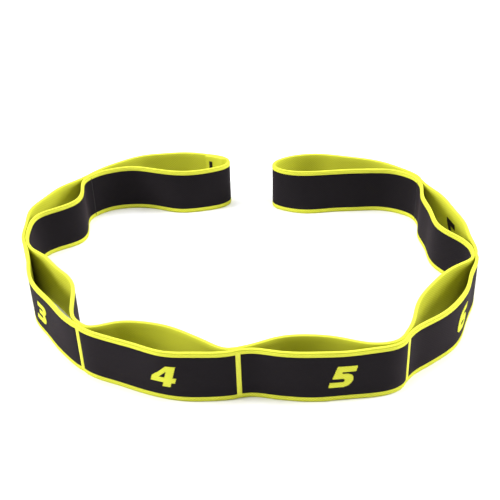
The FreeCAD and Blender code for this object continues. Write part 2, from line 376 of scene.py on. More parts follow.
@dataclass
class Shell:
    """A closed surface worked out on a grid.

    Attributes:
        points: places in metres, one row each.
        quads: four point numbers for each side face, turned outwards.
        caps: point numbers of each end face.
        uv: pattern coordinates in mm for every corner, side faces first.
        marks: shares of the painted edge line and of the painted pocket shade at each point.
    """

    points: np.ndarray
    quads: np.ndarray
    caps: list[np.ndarray]
    uv: np.ndarray
    marks: np.ndarray

    def turned_out(self) -> "Shell":
        """Flips every face if the enclosed volume comes out negative."""
        a, b, c, d = (self.points[self.quads[:, i]] for i in range(4))
        volume = (a * np.cross(b, c)).sum() + (a * np.cross(c, d)).sum()
        for cap in self.caps:
            fan = self.points[cap]
            volume += (fan[0] * np.cross(fan[1:-1], fan[2:])).sum()
        if volume >= 0:
            return self
        side = len(self.quads) * 4
        uv = [self.uv[:side].reshape(-1, 4, 2)[:, ::-1].reshape(-1, 2)]
        start = side
        for cap in self.caps:
            uv.append(self.uv[start : start + len(cap)][::-1])
            start += len(cap)
        return Shell(
            self.points,
            self.quads[:, ::-1],
            [cap[::-1] for cap in self.caps],
            np.concatenate(uv),
            self.marks,
        )

    def with_shell(self, other: "Shell") -> "Shell":
        """Both shells as one piece."""
        shift = len(self.points)
        side, other_side = len(self.quads) * 4, len(other.quads) * 4
        return Shell(
            np.concatenate([self.points, other.points]),
            np.concatenate([self.quads, other.quads + shift]),
            self.caps + [cap + shift for cap in other.caps],
            np.concatenate(
                [self.uv[:side], other.uv[:other_side], self.uv[side:], other.uv[other_side:]]
            ),
            np.concatenate([self.marks, other.marks]),
        )

    def piece(self, name: str, finish: WovenFinish | StitchFinish) -> bpy.types.Object:
        """Makes the mesh object, smooth along its sides and crisp at its cut ends.

        Args:
            name: the piece's name.
            finish: its yarn.

        Returns:
            The object, at the origin, unturned and unscaled.
        """
        mesh = bpy.data.meshes.new(name)
        faces = self.quads.tolist() + [cap.tolist() for cap in self.caps]
        mesh.from_pydata(self.points.tolist(), [], faces)
        layer = mesh.uv_layers.new(name=PATTERN_MAP)
        layer.uv.foreach_set("vector", self.uv.astype(np.float32).ravel())
        for column, attribute in enumerate((EDGE_SHADE_ATTRIBUTE, POCKET_SHADE_ATTRIBUTE)):
            share = mesh.attributes.new(attribute, "FLOAT", "POINT")
            share.data.foreach_set("value", self.marks[:, column].astype(np.float32))
        mesh.polygons.foreach_set("use_smooth", np.ones(len(faces), bool))
        mesh.set_sharp_from_angle(angle=np.radians(SHARP))
        mesh.update()
        material = bpy.data.materials.get(finish.name) or finish.material()
        mesh.materials.append(material)
        made = bpy.data.objects.new(name, mesh)
        bpy.context.scene.collection.objects.link(made)
        log.info("%s: %d faces", name, len(faces))
        return made


def loft(rings: np.ndarray, along: np.ndarray, marks: np.ndarray | None = None) -> Shell:
    """Carries a closed outline along a path.

    Point j of ring i is joined to point j + 1 and to ring i + 1, and both ends are capped.
    Pattern coordinates are the path's length and the running length around the first ring.

    Args:
        rings: (rings, points, 3) in metres.
        along: place of each ring along the path in mm.
        marks: shares of the painted edge line and the painted pocket shade at each point of each ring.

    Returns:
        The closed shell.
    """
    count, around = rings.shape[:2]
    number = np.arange(count * around).reshape(count, around)
    beside = np.roll(number, -1, axis=1)
    quads = np.stack([number[:-1], number[1:], beside[1:], beside[:-1]], axis=-1)
    middle = rings[count // 2]
    steps = np.linalg.norm(np.roll(middle, -1, axis=0) - middle, axis=1) / MM
    run = np.concatenate([[0.0], np.cumsum(steps)])
    first, last = np.meshgrid(along[:-1], run[:-1], indexing="ij")
    ahead, past = np.meshgrid(along[1:], run[1:], indexing="ij")
    corners = [(first, last), (ahead, last), (ahead, past), (first, past)]
    uv = np.stack([np.stack(corner, axis=-1) for corner in corners], axis=2)
    caps = [number[0], number[-1][::-1]]
    ends = [np.column_stack([np.full(around, along[end]), run[:-1]]) for end in (0, -1)]
    share = np.zeros((count, around, 2)) if marks is None else marks
    return Shell(
        rings.reshape(-1, 3),
        quads.reshape(-1, 4),
        caps,
        np.concatenate([uv.reshape(-1, 2), ends[0], ends[1][::-1]]),
        share.reshape(-1, 2),
    ).turned_out()


@dataclass(frozen=True)
class Section:
    """A cross-section with rounded corners.

    Attributes:
        corners: depth, height and radius of each corner in mm, anticlockwise with the front
            on the right.
    """

    corners: tuple[tuple[float, float, float], ...]

    def outline(self, arc: int = 3, reach: float = 4.0) -> np.ndarray:
        """Points around the section.

        Each corner is an arc that meets both sides at radius times tan(half the turn) from
        the corner. Long sides are divided, so that the tape can twist a little.

        Args:
            arc: spans in each rounded corner.
            reach: longest side in mm that isn't divided.

        Returns:
            (points, 2): depth and height.
        """
        given = np.array(self.corners)
        place, radius = given[:, :2], given[:, 2]
        before = place - np.roll(place, 1, axis=0)
        after = np.roll(place, -1, axis=0) - place
        before /= np.linalg.norm(before, axis=1)[:, None]
        after /= np.linalg.norm(after, axis=1)[:, None]
        cross = before[:, 0] * after[:, 1] - before[:, 1] * after[:, 0]
        turn = np.arctan2(cross, (before * after).sum(1))
        back = place - before * (radius * np.tan(abs(turn) / 2))[:, None]
        left = np.column_stack([-before[:, 1], before[:, 0]])
        arm = -left * (radius * np.sign(turn))[:, None]
        angle = turn[:, None] * np.linspace(0, 1, arc + 1)
        swung = np.stack(
            [
                arm[:, :1] * np.cos(angle) - arm[:, 1:] * np.sin(angle),
                arm[:, :1] * np.sin(angle) + arm[:, 1:] * np.cos(angle),
            ],
            axis=-1,
        )
        rounded = ((back - arm)[:, None] + swung).reshape(-1, 2)
        to_next = np.roll(rounded, -1, axis=0) - rounded
        parts = np.maximum(1, np.ceil(np.linalg.norm(to_next, axis=1) / reach)).astype(int)
        owner = np.repeat(np.arange(len(rounded)), parts)
        part = np.arange(len(owner)) - np.repeat(np.cumsum(parts) - parts, parts)
        return rounded[owner] + to_next[owner] * (part / parts[owner])[:, None]


# ---------------------------------------------------------------- the plan of the strap


class Ply(Enum):
    """The two plies of the folded tape, by the side of the ring that their black face is on."""

    OUTER = 1
    INNER = -1


@dataclass(frozen=True)
class Loop:
    """One loop in plan, from its lower-numbered end to the next seam.

    Attributes:
        chord: straight distance in mm.
        course: its direction in degrees from +X.
        outer: how far the outer ply's four middle control points stand outside the chord.
        inner: the same for the inner ply.
    """

    chord: float
    course: float
    outer: tuple[float, ...]
    inner: tuple[float, ...]


def bell(distance: np.ndarray, reach: float) -> np.ndarray:
    """1 at no distance, and 1/e at the reach: exp(-(distance / reach)^2)."""
    return np.exp(-((distance / reach) ** 2))


def unit(degrees: float) -> np.ndarray:
    """Unit vector in plan, turned from +X."""
    return np.array([np.cos(np.radians(degrees)), np.sin(np.radians(degrees))])


def right_of(forward: np.ndarray) -> np.ndarray:
    """The right-hand normal of a direction in plan."""
    return np.stack([forward[..., 1], -forward[..., 0]], axis=-1)


def spline_weights(step: np.ndarray, knots: np.ndarray, degree: int) -> np.ndarray:
    """How much each control point of a spline counts at each step.

    At degree 0 the weight is 1 in its own span of the knots. At each further degree a weight
    is itself times its rise over its knots, plus the next one times what is left of the rise.

    Args:
        step: places from the first knot to the last.
        knots: the knots in order, with repeats at both ends.
        degree: the spline's degree.

    Returns:
        (steps, control points).
    """
    span = np.searchsorted(knots, step, side="right") - 1
    span = np.clip(span, 0, np.flatnonzero(np.diff(knots) > 0).max())
    weight = np.zeros((len(step), len(knots) - 1))
    weight[np.arange(len(step)), span] = 1.0
    for order in range(1, degree + 1):
        gap = knots[order:] - knots[:-order]
        live = gap > 0
        rise = (step[:, None] - knots[:-order]) / np.where(live, gap, 1.0)
        weight = (live * rise)[:, :-1] * weight[:, :-1] + (live * (1 - rise))[:, 1:] * weight[:, 1:]
    return weight


@dataclass
class TapeLine:
    """Middle line of the whole tape in plan, one closed line.

    It runs along the outer ply from the first fold to the last, and back along the inner
    ply. The black face is always on its right.

    Attributes:
        points: (points, 2) in mm, the last on top of the first.
        forwards: unit direction at each point.
        seams: place of each seam along the line, on the outer and on the inner ply.
        sway: how far the edges sway in mm.
        waves: waves round the tape, phase and share of each slow wave of the edges.
        settled: mm from a seam at which the waves have mostly grown.
        press: share of its thickness that a ply loses at a seam, and the reach of this in mm.
        draw: mm by which a seam draws a ply to the other one, and the reach of this in mm.
        runs: length up to each point in mm.
    """

    points: np.ndarray
    forwards: np.ndarray
    seams: dict[tuple[int, Ply], float]
    sway: float = 0.25
    waves: tuple[tuple[float, float, float], ...] = ((49.0, 0.6, 1.0), (31.0, 2.1, 0.7))
    settled: float = 22.0
    press: tuple[float, float] = (0.1, 2.4)
    draw: tuple[float, float] = (0.14, 3.0)
    runs: np.ndarray = field(init=False)

    def __post_init__(self) -> None:
        """Adds up the line's length."""
        steps = np.linalg.norm(np.diff(self.points, axis=0), axis=1)
        self.runs = np.concatenate([[0.0], np.cumsum(steps)])

    @property
    def length(self) -> float:
        """Length once round, in mm."""
        return float(self.runs[-1])

    def seam_distance(self, along: np.ndarray) -> np.ndarray:
        """Distance along the tape to the nearest seam, in mm."""
        apart = abs(along[..., None] - np.array(list(self.seams.values())))
        return np.minimum(apart, self.length - apart).min(-1)

    def place(self, along: np.ndarray, depth: np.ndarray, height: np.ndarray) -> np.ndarray:
        """Places on the tape, in metres.

        The point is the middle line's, plus the right-hand normal times the depth. By a seam
        the ply is pressed thinner towards its back and drawn to the other ply. Away from the
        seams the upper edge sways against the lower one in two slow sine waves.

        Args:
            along: mm along the tape.
            depth: mm from the middle line to the black face's side.
            height: mm above the floor.

        Returns:
            An array of the inputs' common shape, with three coordinates each.
        """
        along, depth, height = np.broadcast_arrays(along, depth, height)
        turn = np.mod(along, self.length)
        at = np.stack([np.interp(turn, self.runs, self.points[:, i]) for i in (0, 1)], -1)
        way = np.stack([np.interp(turn, self.runs, self.forwards[:, i]) for i in (0, 1)], -1)
        way /= np.linalg.norm(way, axis=-1)[..., None]
        apart = self.seam_distance(turn)
        pressed = (depth - BACK) * self.press[0] * bell(apart, self.press[1])
        drawn = self.draw[0] * bell(apart, self.draw[1])
        round_trip = 2 * np.pi * turn / self.length
        waves = sum(part * np.sin(count * round_trip + phase) for count, phase, part in self.waves)
        swayed = self.sway * waves * (height / (WIDTH / 2) - 1) * (1 - bell(apart, self.settled))
        out = (depth - pressed - drawn + swayed)[..., None] * right_of(way)
        flat = (at + out) * MM
        return np.concatenate([flat, (height * MM)[..., None]], axis=-1)


@dataclass
class StrapPlan:
    """Plan of the strap, with the same sizes as the frame's plies, in mm.

    Attributes:
        thickness: of one ply.
        ply_gap: between the plies at a seam.
        seam_gap: along the strap between a ply's end and the seam's threads.
        seam_pull: length of a ply's handle at a seam.
        fold_pull: length of its handle at a folded end.
        shares: where along the chord the four middle control points stand.
        loops: each loop in plan.
        headings: direction of the strap at each seam and folded end, in degrees from +X.
    """

    thickness: float = 2.4
    ply_gap: float = 0.3
    seam_gap: float = 0.3
    seam_pull: float = 7.0
    fold_pull: float = 8.0
    shares: tuple[float, ...] = (0.2, 0.4, 0.6, 0.8)
    loops: dict[int, Loop] = field(
        default_factory=lambda: {
            1: Loop(118.0, -172.0, (22.5, 25.5, 28.0, 18.5), (-12.0, -11.0, 6.0, 10.0)),
            2: Loop(107.5, -108.5, (15.0, 18.5, 23.0, 12.0), (-4.5, -13.0, 15.0, 10.0)),
            3: Loop(114.5, -62.5, (5.5, 13.5, 9.5, 7.5), (-7.0, -9.5, -14.5, -2.0)),
            4: Loop(108.0, -17.0, (7.5, 11.0, 15.0, 9.5), (-9.0, -13.5, -10.0, -3.0)),
            5: Loop(108.0, 4.0, (5.5, 10.5, 11.5, 11.0), (-7.5, -10.0, -3.5, 8.5)),
            6: Loop(110.0, 55.0, (6.5, 14.0, 13.5, 6.5), (-4.5, -11.5, -9.0, -6.5)),
            7: Loop(110.5, 100.5, (5.0, 10.5, 8.5, 7.5), (-2.0, -14.0, -7.0, -9.0)),
            8: Loop(123.5, 162.0, (20.0, 27.5, 25.0, 27.0), (14.5, 6.5, -1.0, -13.0)),
        }
    )
    headings: tuple[float, ...] = (182.0, 229.0, 291.0, 317.0, 371.0, 416.0, 442.0, 464.0, 524.0)

    def seam_centres(self) -> np.ndarray:
        """Seam centres in mm, each a chord on from the last, set on the frame's middle seam."""
        steps = [unit(loop.course) * loop.chord for loop in self.loops.values()]
        chain = np.vstack([np.zeros(2), np.cumsum(steps, axis=0)])
        low, high = (np.array(corner)[:2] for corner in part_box("seam_4_5"))
        return chain + (low + high) / 2 / MM - chain[4]

    def controls(self, centres: np.ndarray, number: int, ply: Ply) -> np.ndarray:
        """Control points of one ply's curve.

        It leaves a seam along the seam's heading, half the stack to its own side, and a ply on
        the outside of a bend keeps the heading for longer. A folded end starts square to the
        strap.

        Args:
            centres: seam centres from seam_centres.
            number: the loop.
            ply: which ply.

        Returns:
            (8, 2) in mm.
        """
        loop = self.loops[number]
        side = ply.value
        chord = unit(loop.course)
        stand_off = side * (self.thickness + self.ply_gap) / 2
        inset = self.thickness + self.ply_gap / 2 + self.seam_gap
        ends = []
        for seam, sense in ((number - 1, 1), (number, -1)):
            heading = unit(self.headings[seam])
            if seam in (0, len(self.loops)):
                end = centres[seam]
                handle = end + right_of(heading) * side * self.fold_pull
            else:
                end = centres[seam] + heading * inset * sense + right_of(heading) * stand_off
                bend = sense * (heading[0] * chord[1] - heading[1] * chord[0])
                turn = np.arctan2(bend, heading @ chord)
                handle = end + heading * (self.seam_pull + stand_off * turn) * sense
            ends.append((end, handle))
        pulls = loop.outer if ply is Ply.OUTER else loop.inner
        middle = [
            centres[number - 1] + chord * loop.chord * share + right_of(chord) * pull
            for share, pull in zip(self.shares, pulls)
        ]
        return np.array([ends[0][0], ends[0][1], *middle, ends[1][1], ends[1][0]])

    def tape_line(self, samples: int = 500) -> TapeLine:
        """Joins the sixteen plies into the tape's one closed line.

        Each ply is a cubic spline of five spans: the sum of its control points times their
        weights. Its direction is the same sum, one degree lower, of the control points' steps,
        each over its gap in the knots. The short straight runs across the seams are left to
        interpolation.

        Args:
            samples: spans of each ply.

        Returns:
            The tape's line.
        """
        centres = self.seam_centres()
        step = np.linspace(0, 1, samples + 1)
        knots = np.array([0.0] * 4 + list(self.shares) + [1.0] * 4)
        weight = spline_weights(step, knots, 3)
        slope = spline_weights(step, knots[1:-1], 2) / (knots[4:-1] - knots[1:-4])
        places, ways = {}, {}
        for number in self.loops:
            for ply in Ply:
                control = self.controls(centres, number, ply)
                places[number, ply] = weight @ control
                way = slope @ np.diff(control, axis=0)
                ways[number, ply] = way / np.linalg.norm(way, axis=1)[:, None]
        there = [(number, Ply.OUTER) for number in self.loops]
        back = [(number, Ply.INNER) for number in reversed(self.loops)]
        points = np.concatenate(
            [places[key] for key in there] + [places[key][::-1] for key in back]
        )
        forwards = np.concatenate(
            [ways[key] for key in there] + [-ways[key][::-1] for key in back]
        )
        line = TapeLine(points, forwards, {})
        order = there + back
        for count, (before, after) in enumerate(zip(order, order[1:]), start=1):
            if before[1] is after[1]:
                first = count * (samples + 1)
                middle = (line.runs[first - 1] + line.runs[first]) / 2
                line.seams[min(before[0], after[0]), before[1]] = float(middle)
        return line


# ---------------------------------------------------------------- the woven tape


@dataclass
class Stretch:
    """A length of the tape that becomes one ground piece and one panel.

    Attributes:
        name: what it is called.
        start: mm along the tape.
        end: mm along the tape, past start.
        loops: the loops that it belongs to.
        seam: the seam that it crosses, or None where it rounds a folded end.
        plies: the plies that it is part of.
    """

    name: str
    start: float
    end: float
    loops: tuple[int, ...]
    seam: int | None
    plies: tuple[Ply, ...]


@dataclass
class SeamFold:
    """Meant for the bend at a seam, 8 mm each side of its centre; it only bakes pieces in place."""

    plan: StrapPlan
    centres: np.ndarray
    reach: float = 8.0

    def bend(self, piece: bpy.types.Object, seam: int) -> None:
        """Bakes a finished piece's place into its mesh, without blending it between the loops."""
        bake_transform(piece)


@dataclass
class WovenTape:
    """The tape itself: yellow ground and black panel, cut at the middle of each loop.

    Attributes:
        line: the tape's line.
        fold: bakes the pieces across the seams in place.
        finishes: its yarns.
        step: longest mm from one ring of points to the next.
        past_seam: mm from a loop's lower seam to its cut.
        before_seam: mm from the cut of loop 1 to seam 1.
        ground: section of the yellow ground, with a groove by each edge for the painted edge line.
        panel: section of the black panel.
        groove: depth, distance from the edge and half width of the dark line painted as shade, in mm.
        hem: mm from the edge where the painted pocket shade on the back starts, and over which it
            comes in.
        pocket_shade_shares: painted shade inside the pockets: a little everywhere on the back, more by
            the seams, and more towards the lower edge.
        pocket_shade_reach: mm from a seam over which the painted shade by the seam fades.
    """

    line: TapeLine
    fold: SeamFold
    finishes: Finishes
    step: float = 0.9
    past_seam: float = 46.0
    before_seam: float = 72.0
    ground: Section = Section(
        (
            (-1.2, 0.0, 0.95),
            (0.98, 0.0, 0.6),
            (0.98, 0.62, 0.12),
            (0.72, 0.86, 0.08),
            (1.25, 1.08, 0.25),
            (1.22, 3.9, 0.25),
            (0.55, 3.9, 0.05),
            (0.55, 36.5, 0.05),
            (1.22, 36.5, 0.25),
            (1.25, 38.92, 0.25),
            (0.72, 39.14, 0.08),
            (0.98, 39.38, 0.12),
            (0.98, 40.0, 0.6),
            (-1.2, 40.0, 0.95),
        )
    )
    panel: Section = Section(
        ((0.45, 3.8, 0.05), (1.08, 3.9, 0.3), (1.08, 36.5, 0.3), (0.45, 36.6, 0.05))
    )
    groove: tuple[float, float, float] = (0.74, 0.86, 0.17)
    hem: tuple[float, float] = (0.8, 1.2)
    pocket_shade_shares: tuple[float, float, float] = (0.15, 0.5, 0.25)
    pocket_shade_reach: float = 22.0

    def cut(self, number: int, ply: Ply) -> float:
        """Where a loop's ply is cut, in mm along the tape."""
        ahead = ply.value
        if number == 1:
            return self.line.seams[1, ply] - self.before_seam * ahead
        return self.line.seams[number - 1, ply] + self.past_seam * ahead

    def stretches(self) -> list[Stretch]:
        """Seven stretches across the seams of each ply, and two round the folded ends."""
        found = []
        for seam in range(1, 8):
            for ply in Ply:
                ends = sorted((self.cut(seam, ply), self.cut(seam + 1, ply)))
                name = f"{ply.name.lower()}_ply_{seam}_to_{seam + 1}"
                found.append(Stretch(name, *ends, (seam, seam + 1), seam, (ply,)))
        both = (Ply.OUTER, Ply.INNER)
        first = self.cut(1, Ply.INNER), self.cut(1, Ply.OUTER) + self.line.length
        last = self.cut(8, Ply.OUTER), self.cut(8, Ply.INNER)
        found.append(Stretch("folded_end_1", *first, (1,), None, both))
        found.append(Stretch("folded_end_8", *last, (8,), None, both))
        return found

    def surface(self, stretch: Stretch, section: Section) -> Shell:
        """Carries a section along a stretch.

        The painted edge line lies in the grooves as painted shade, and painted pocket shade on the
        back between the two edges. The painted shade is darkest low down and by the seams, where the
        pockets close into crevices.
        """
        outline = section.outline()
        count = int(np.ceil((stretch.end - stretch.start) / self.step)) + 1
        along = np.linspace(stretch.start, stretch.end, count)
        rings = self.line.place(along[:, None], outline[None, :, 0], outline[None, :, 1])
        # Painted shade: the dark line is a bell round the groove by each edge.
        depth, edge, half = self.groove
        from_edge = np.minimum(outline[:, 1], WIDTH - outline[:, 1])
        apart = np.hypot(outline[:, 0] - depth, from_edge - edge)
        # Painted shade inside the pockets: on the back between the edges, a little everywhere, more by
        # the seams and more low down.
        start, fade = self.hem
        back = np.clip((from_edge - start) / fade, 0, 1) * (outline[:, 0] < BACK + 0.1)
        seams = bell(self.line.seam_distance(np.mod(along, self.line.length)), self.pocket_shade_reach)
        least, by_seam, low_down = self.pocket_shade_shares
        pocket_shade_shares = least + by_seam * seams[:, None] + low_down * (1 - outline[None, :, 1] / WIDTH)
        line = np.broadcast_to(bell(apart, half), pocket_shade_shares.shape)
        return loft(rings, along, np.stack([line, pocket_shade_shares * back], axis=-1))

    def build(self) -> None:
        """Makes both pieces of every stretch; only those round a folded end are fixed to a loop."""
        for stretch in self.stretches():
            ground = self.surface(stretch, self.ground).piece(
                f"{stretch.name}_ground", self.finishes.yellow_weave
            )
            panel = self.surface(stretch, self.panel).piece(
                f"{stretch.name}_panel", self.finishes.black_weave
            )
            plies = [
                f"loop_{number}_{ply.name.lower()}"
                for number in stretch.loops
                for ply in stretch.plies
            ]
            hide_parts(*[f"{ply}_yellow_ground" for ply in plies])
            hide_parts(*[f"loop_{number}_rubber_cores" for number in stretch.loops])
            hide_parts(*[f"{ply}_black_face" for ply in plies])
            for piece in (ground, panel):
                if stretch.seam is None:
                    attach(piece, f"loop_{stretch.loops[0]}")
                else:
                    self.fold.bend(piece, stretch.seam)


# ---------------------------------------------------------------- seams


@dataclass
class SatinBar:
    """A column of close zigzag stitches that stands up the tape.

    Attributes:
        width: across the bar, along the tape, in mm.
        low: lower end in mm.
        high: upper end in mm.
        base: depth of its sunken back in mm.
        crown: depth of its middle in mm.
        pitch: from one thread to the next in mm.
        relief: how far the threads stand proud in mm.
        slant: lean of the threads, mm up the tape for each mm of the bar's width.
        across: points across the bar.
    """

    width: float
    low: float
    high: float
    base: float
    crown: float
    pitch: float = 0.62
    relief: float = 0.12
    slant: float = 0.16
    across: int = 11

    def shell(self, line: TapeLine, middle: float) -> Shell:
        """The bar's surface.

        Across the bar its depth follows an ellipse, which sinks to 0.55 of itself over the
        last half millimetre at both ends. Up the bar the threads stand proud by the relief
        times the root of |sin(pi height / pitch)|, each leaning by the slant.

        Args:
            line: the tape.
            middle: the bar's place along the tape in mm.

        Returns:
            A closed shell.
        """
        rows = int(np.ceil((self.high - self.low) / self.pitch)) * 6 + 1
        height = np.linspace(self.low, self.high, rows)[:, None]
        bow = np.linspace(-1, 1, self.across)[None]
        # Just short of the full ellipse, so that the sides aren't without height.
        arch = np.sqrt(1 - bow**2 * 0.96)
        ends = np.sqrt(np.clip(np.minimum(height - self.low, self.high - height), 0, 0.5) * 2)
        lean = height + self.slant * self.width * bow
        ridge = np.sqrt(abs(np.sin(np.pi * lean / self.pitch)))
        rise = np.sign(self.crown - self.base)
        top = self.base + (self.crown - self.base) * arch * (0.55 + 0.45 * ends)
        top = top + rise * self.relief * ridge * arch
        along = middle + bow * self.width / 2
        front = line.place(along, top, height)
        under = line.place(along[:, ::-1], np.array([[self.base]]), height)
        rings = np.concatenate([front, under], axis=1)
        return loft(rings, height[:, 0])


@dataclass
class SewnSeams:
    """Seven seams: a yellow bar on the outer ply, threads between, a black row inside.

    Attributes:
        line: the tape's line.
        fold: gives the ply sizes, and bakes the pieces in place.
        finishes: its yarns.
        core_size: width along the tape and thickness of the threads between the plies, in mm.
        core_ends: their lower and upper end in mm.
        rib: share of the size that their ribs take.
        bar: the bar on the outer ply.
        row: the row on the inner ply.
    """

    line: TapeLine
    fold: SeamFold
    finishes: Finishes
    core_size: tuple[float, float] = (2.4, 0.7)
    core_ends: tuple[float, float] = (0.9, 39.1)
    rib: float = 0.15
    bar: SatinBar = field(
        default_factory=lambda: SatinBar(width=3.5, low=2.4, high=37.6, base=0.8, crown=1.5)
    )
    row: SatinBar = field(
        default_factory=lambda: SatinBar(
            width=1.1, low=1.6, high=38.4, base=0.7, crown=1.25, pitch=2.3, relief=0.14, across=7
        )
    )

    def core(self, seam: int) -> Shell:
        """Threads that pass between the plies: a ribbon with an oval section, ribbed like a bar."""
        width, thick = self.core_size
        height = np.linspace(*self.core_ends, 240)[:, None]
        angle = np.linspace(0, 2 * np.pi, 12, endpoint=False)[None]
        swell = 1 - self.rib + self.rib * abs(np.sin(np.pi * height / self.bar.pitch))
        along = self.line.seams[seam, Ply.OUTER] + width / 2 * np.cos(angle) * swell
        stand_off = -(self.fold.plan.thickness + self.fold.plan.ply_gap) / 2
        depth = stand_off + thick / 2 * np.sin(angle) * swell
        return loft(self.line.place(along, depth + self.line.draw[0], height), height[:, 0])

    def build(self) -> None:
        """Makes both pieces of each seam and bakes them in place."""
        for seam in range(1, 8):
            outer, inner = (self.line.seams[seam, ply] for ply in Ply)
            bar = self.bar.shell(self.line, outer).with_shell(self.core(seam))
            bar = bar.piece(f"seam_bar_{seam}_{seam + 1}", self.finishes.yellow_thread)
            row = self.row.shell(self.line, inner).piece(
                f"seam_row_{seam}_{seam + 1}", self.finishes.black_thread
            )
            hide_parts(f"seam_{seam}_{seam + 1}")
            for piece in (bar, row):
                self.fold.bend(piece, seam)


# ---------------------------------------------------------------- woven figures


@dataclass
class WovenFigures:
    """Figures 1 to 8 on the outer ply: yellow on the face, and black through on its back.

    Outlines are ten units high. Each corner is x, y and the bulge of the edge that leaves it:
    0 is straight, 1 a half circle, + turns left. Later lists are holes. Some figures stand a
    few millimetres off their even spacing.

    Attributes:
        line: the tape's line.
        finishes: its yarns.
        height: of a figure in mm.
        slant: its lean, mm along the tape for each mm of height.
        past_seam: mm from a loop's lower seam to the figure's middle.
        before_seam: mm from the middle of figure 1 to seam 1.
        cell: side of a thread cell in mm.
        face: depth of the black panel's face in mm.
        sunk: how far a figure's back lies in the tape, in mm.
        lift: how far a figure stands proud, in mm.
        back_lift: the same for its reverse.
        arch: how far each thread is arched, in mm.
        shifts: figures off their even spacing, and by how many mm.
        outlines: contours of each figure.
    """

    line: TapeLine
    finishes: Finishes
    height: float = 17.0
    slant: float = 0.25
    past_seam: float = 65.0
    before_seam: float = 46.0
    cell: float = 0.5
    face: float = 1.08
    sunk: float = 0.3
    lift: float = 0.24
    back_lift: float = 0.12
    arch: float = 0.07
    shifts: tuple[tuple[int, float], ...] = ((5, 1.5), (6, -4.0), (7, -4.5))
    outlines: dict[int, list[list[tuple[float, float, float]]]] = field(
        default_factory=lambda: {
            1: [
                [(2.6, 0, 0), (5.8, 0, 0), (5.8, 10, 0), (3.3, 10, 0), (0.2, 8.0, 0), (0.2, 5.4, 0),
                 (2.6, 6.8, 0)]
            ],
            2: [
                [(0, 0, 0), (8.2, 0, 0), (8.2, 2.5, 0), (4.6, 2.5, 0), (7.0, 4.3, 0.75),
                 (5.2, 10, 0), (0.8, 10, 0), (0.8, 7.6, 0), (4.7, 7.6, -0.9), (4.4, 6.1, 0),
                 (0, 2.9, 0)]
            ],
            3: [
                [(0.2, 0, 0), (5.4, 0, 0.9), (6.7, 5.1, 0.9), (5.2, 10, 0), (0.8, 10, 0),
                 (0.8, 7.6, 0), (4.8, 7.6, -1), (4.8, 6.2, 0), (2.4, 6.2, 0), (2.4, 4.0, 0),
                 (4.9, 4.0, -1), (4.9, 2.4, 0), (0.2, 2.4, 0)]
            ],
            4: [
                [(5.1, 0, 0), (8.1, 0, 0), (8.1, 2.0, 0), (9.5, 2.0, 0), (9.5, 4.3, 0),
                 (8.1, 4.3, 0), (8.1, 10, 0), (4.6, 10, 0), (0, 4.3, 0), (0, 2.0, 0), (5.1, 2.0, 0)],
                [(5.1, 4.3, 0), (2.7, 4.3, 0), (5.1, 7.5, 0)],
            ],
            5: [
                [(0, 0, 0), (5.2, 0, 1), (5.2, 6.4, 0), (3.4, 6.4, 0), (3.5, 7.5, 0), (8.4, 7.5, 0),
                 (8.4, 10, 0), (0.9, 10, 0), (0.5, 4.0, 0), (4.6, 4.0, -1), (4.6, 2.4, 0),
                 (0, 2.4, 0)]
            ],
            6: [
                [(3.1, 0, 0), (5.4, 0, 1), (5.4, 6.2, 0), (3.3, 6.2, -0.3), (4.8, 7.6, 0),
                 (7.6, 7.6, 0), (7.6, 10, 0), (4.6, 10, 0.42), (0, 5.2, 0), (0, 3.1, 0.42)],
                [(3.4, 2.3, -1), (3.4, 4.0, 0), (5.0, 4.0, -1), (5.0, 2.3, 0)],
            ],
            7: [
                [(1.2, 0, 0), (4.6, 0, 0), (8.6, 7.6, 0), (8.6, 10, 0), (0.4, 10, 0), (0.4, 7.5, 0),
                 (5.2, 7.5, 0)]
            ],
            8: [
                [(3.0, 0, 0), (5.4, 0, 0.9), (6.6, 5.1, 0.9), (5.2, 10, 0), (3.2, 10, 0.9),
                 (1.8, 5.1, 0.9)],
                [(3.2, 2.3, -1), (3.2, 4.0, 0), (5.2, 4.0, -1), (5.2, 2.3, 0)],
                [(3.4, 6.1, -1), (3.4, 7.7, 0), (5.0, 7.7, -1), (5.0, 6.1, 0)],
            ],
        }
    )

    def contour(self, corners: list[tuple[float, float, float]], spans: int = 16) -> np.ndarray:
        """Points of one outline.

        An edge with a bulge b is an arc through its ends that turns by 4 atan(b): from the
        chord's middle it goes out b times half the chord. Every edge gets the same number of
        points, on its chord plus the arc's rise there.

        Args:
            corners: x, y and bulge of each corner.
            spans: points on each edge.

        Returns:
            (points, 2) in outline units.
        """
        given = np.array(corners, float)
        start, bulge = given[:, :2], given[:, 2]
        chord = np.roll(start, -1, axis=0) - start
        turn = 4 * np.arctan(bulge)[:, None] * np.ones((1, spans))
        safe = np.where(abs(turn) < 1e-6, 1e-6, turn)
        swing = safe * np.linspace(0, 1, spans, endpoint=False)
        # Chord of the part swung through, against the whole chord, in length and in angle.
        share = np.sin(swing / 2) / np.sin(safe / 2)
        angle = (swing - safe) / 2
        x = share * (chord[:, :1] * np.cos(angle) - chord[:, 1:] * np.sin(angle))
        y = share * (chord[:, :1] * np.sin(angle) + chord[:, 1:] * np.cos(angle))
        return (start[:, None] + np.stack([x, y], axis=-1)).reshape(-1, 2)

